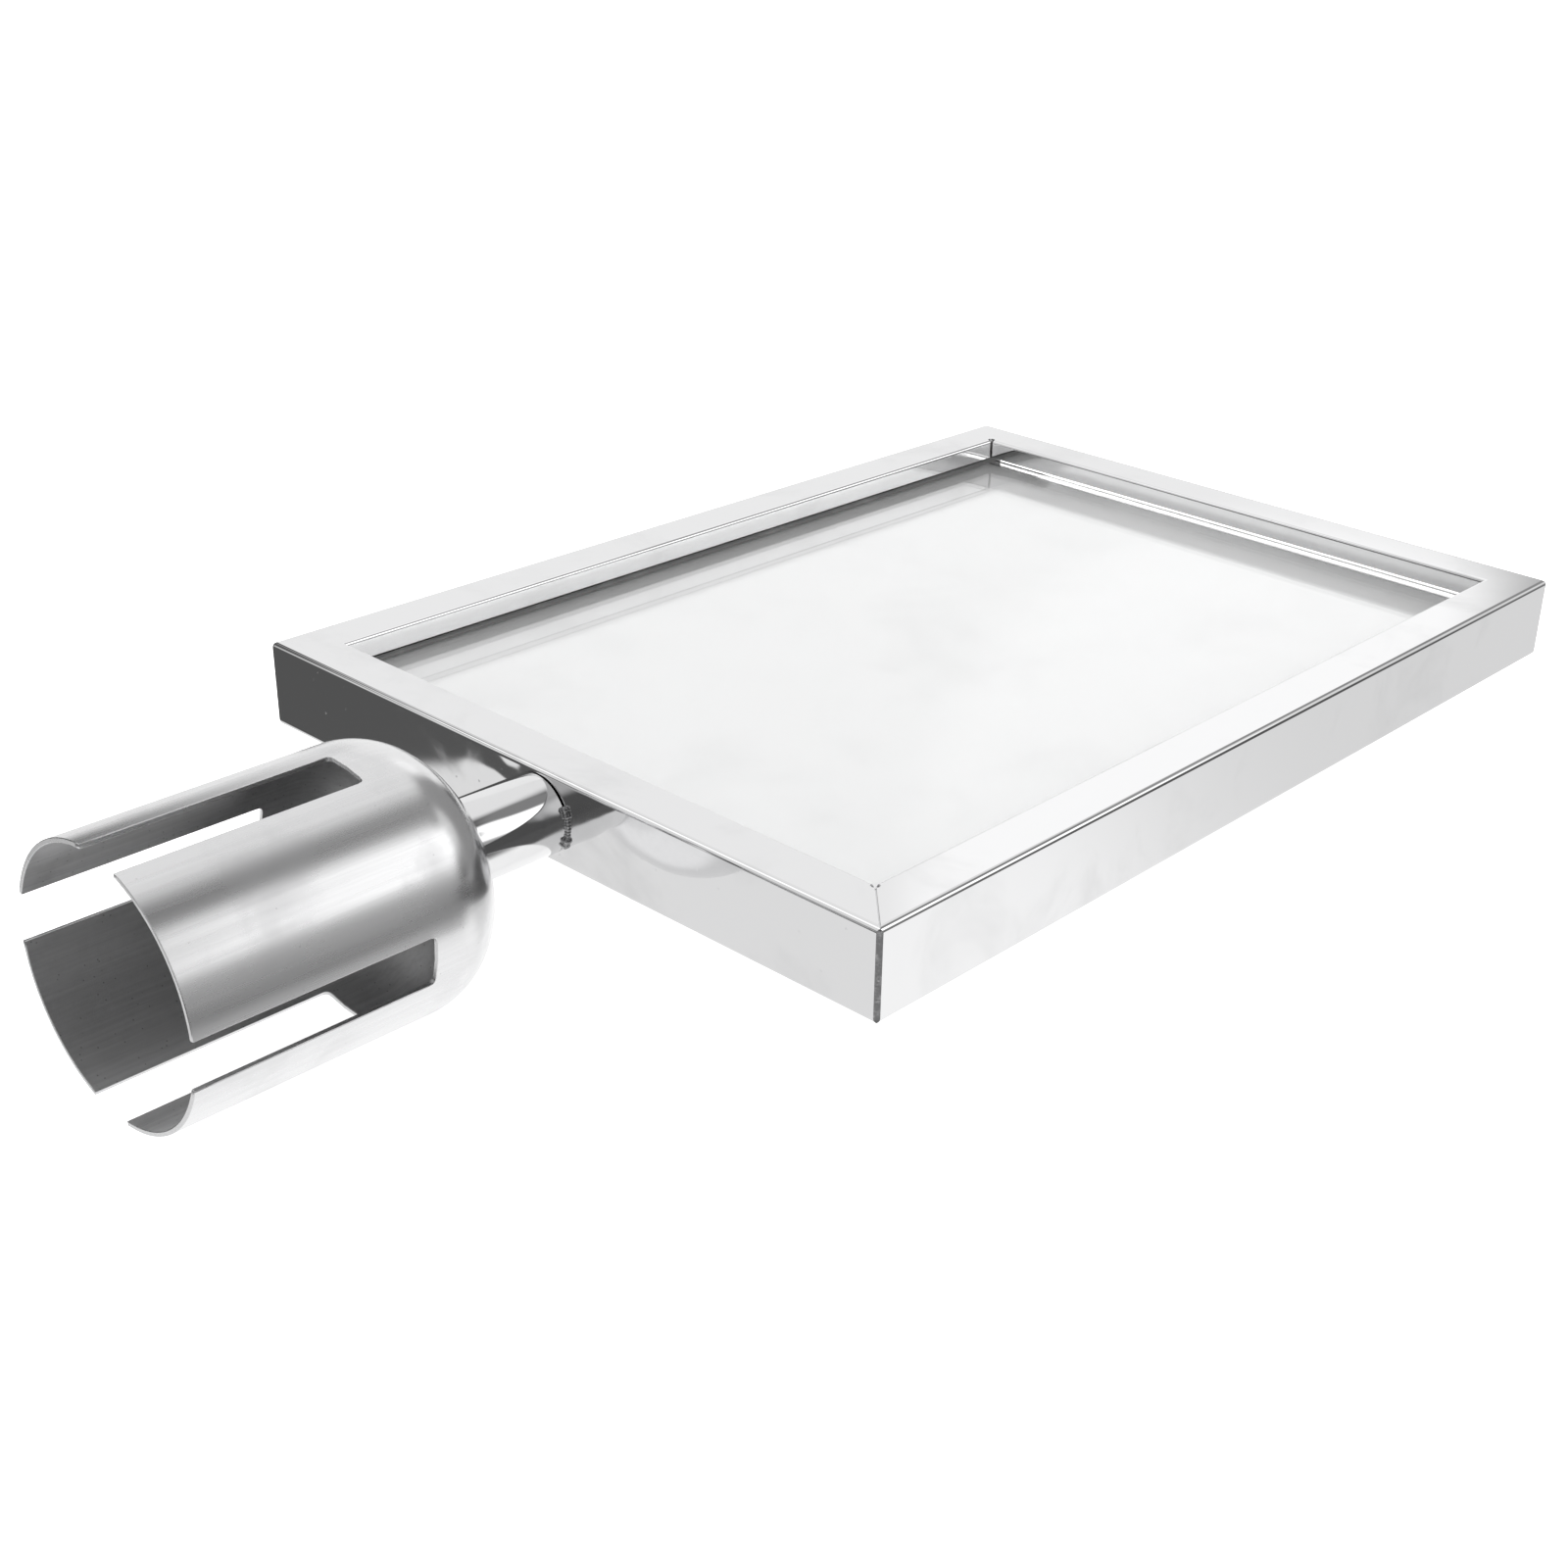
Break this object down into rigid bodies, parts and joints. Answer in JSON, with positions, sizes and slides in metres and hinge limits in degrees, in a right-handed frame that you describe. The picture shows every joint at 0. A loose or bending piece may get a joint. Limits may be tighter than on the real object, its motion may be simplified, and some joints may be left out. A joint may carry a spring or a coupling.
{
  "type": "barrier post sign frame",
  "caption": "Polished steel sign frame with clear panes, on a short neck and a slotted cup that slides over the head of a belt barrier post.",
  "frame": {"origin": "on the resting surface, under the middle of the bounding box, with the object lying on its back", "axes": "+Z leaves the front of the sign, +Y runs from the socket's mouth to the top of the sign, +X is to a reader's right"},
  "size_m": [0.23, 0.4384, 0.069],
  "materials": {
    "mirror_steel": "mirror polished stainless steel",
    "satin_steel": "satin, brushed along its length",
    "ground_weld": "ground weld, dull grey",
    "fastener_steel": "plain stainless fastener",
    "channel_plastic": "dark extruded glazing channel",
    "clear_pane": "clear polished acrylic",
    "white_paper": "smooth white card"
  },
  "bodies": {
    "frame": {"left_rail": "mirror_steel", "right_rail": "mirror_steel", "bottom_rail": "mirror_steel", "top_rail": "mirror_steel", "seam_weld": "ground_weld", "left_channel": "channel_plastic", "right_channel": "channel_plastic", "bottom_channel": "channel_plastic", "neck_tube": "mirror_steel", "neck_welds": "ground_weld", "neck_plug": "fastener_steel", "flat_washer": "fastener_steel", "spring_washer": "fastener_steel", "fixing_bolt": "fastener_steel"},
    "socket": {"socket_cup": "satin_steel"},
    "front_pane": {"front_pane": "clear_pane"},
    "sign_sheet": {"sign_sheet": "white_paper"},
    "rear_pane": {"rear_pane": "clear_pane"}
  },
  "joints": [
    {"name": "socket_swivel", "type": "hinge", "parent": "frame", "child": "socket", "pos_m": [0, -0.12975, 0.0345], "axis": [0, 1, 0], "continuous": true},
    {"name": "front_pane_slide", "type": "slide", "parent": "frame", "child": "front_pane", "axis": [0, 1, 0], "range_m": [0, 0.315]},
    {"name": "sign_sheet_slide", "type": "slide", "parent": "frame", "child": "sign_sheet", "axis": [0, 1, 0], "range_m": [0, 0.315]},
    {"name": "rear_pane_slide", "type": "slide", "parent": "frame", "child": "rear_pane", "axis": [0, 1, 0], "range_m": [0, 0.315]}
  ]
}
